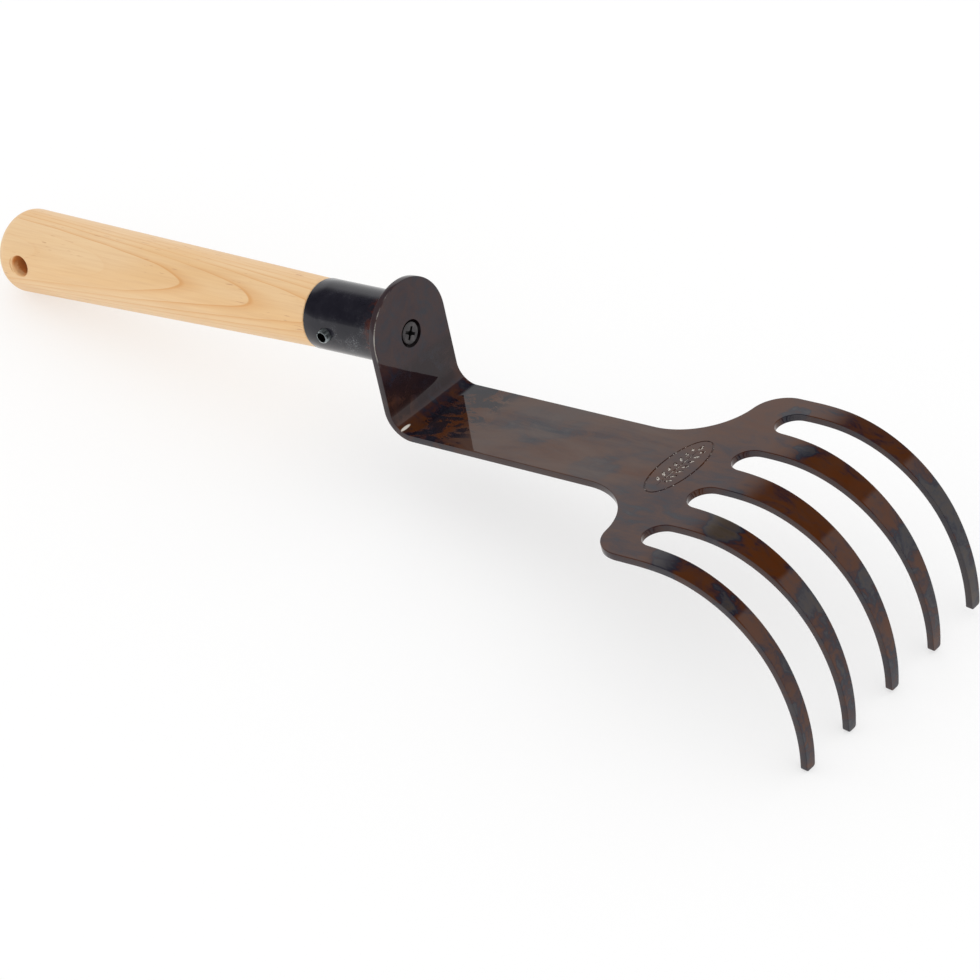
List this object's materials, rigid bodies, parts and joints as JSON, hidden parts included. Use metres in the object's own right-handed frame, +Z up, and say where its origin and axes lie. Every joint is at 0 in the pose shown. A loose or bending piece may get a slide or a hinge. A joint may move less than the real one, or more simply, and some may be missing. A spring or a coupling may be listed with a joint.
{
  "type": "hand cultivator",
  "caption": "Garden hand rake: turned wooden handle, steel ferrule and a bent plate head whose long tapered tines curl down to blunt tips.",
  "frame": {"origin": "centre of the tool's footprint on the surface it lies on, resting on its tine tips and its butt", "axes": "+X from the butt towards the tines, +Y to the left, +Z up from the surface"},
  "size_m": [0.498, 0.132, 0.0959],
  "materials": {
    "handle_wood": "satin lacquer on pale maple-like wood",
    "ferrule_steel": "blackened tube, semi-gloss lacquer",
    "weld_metal": "heat-tinted weld, satin",
    "tempered_plate": "oil-quenched brown and blue temper colours under gloss lacquer",
    "screw_steel": "dark satin",
    "pin_steel": "dark satin"
  },
  "bodies": {
    "root": {"handle": "handle_wood", "ferrule": "ferrule_steel", "weld_bead": "weld_metal", "tine_head": "tempered_plate", "flange_screw": "screw_steel", "roll_pin": "pin_steel"}
  },
  "joints": []
}
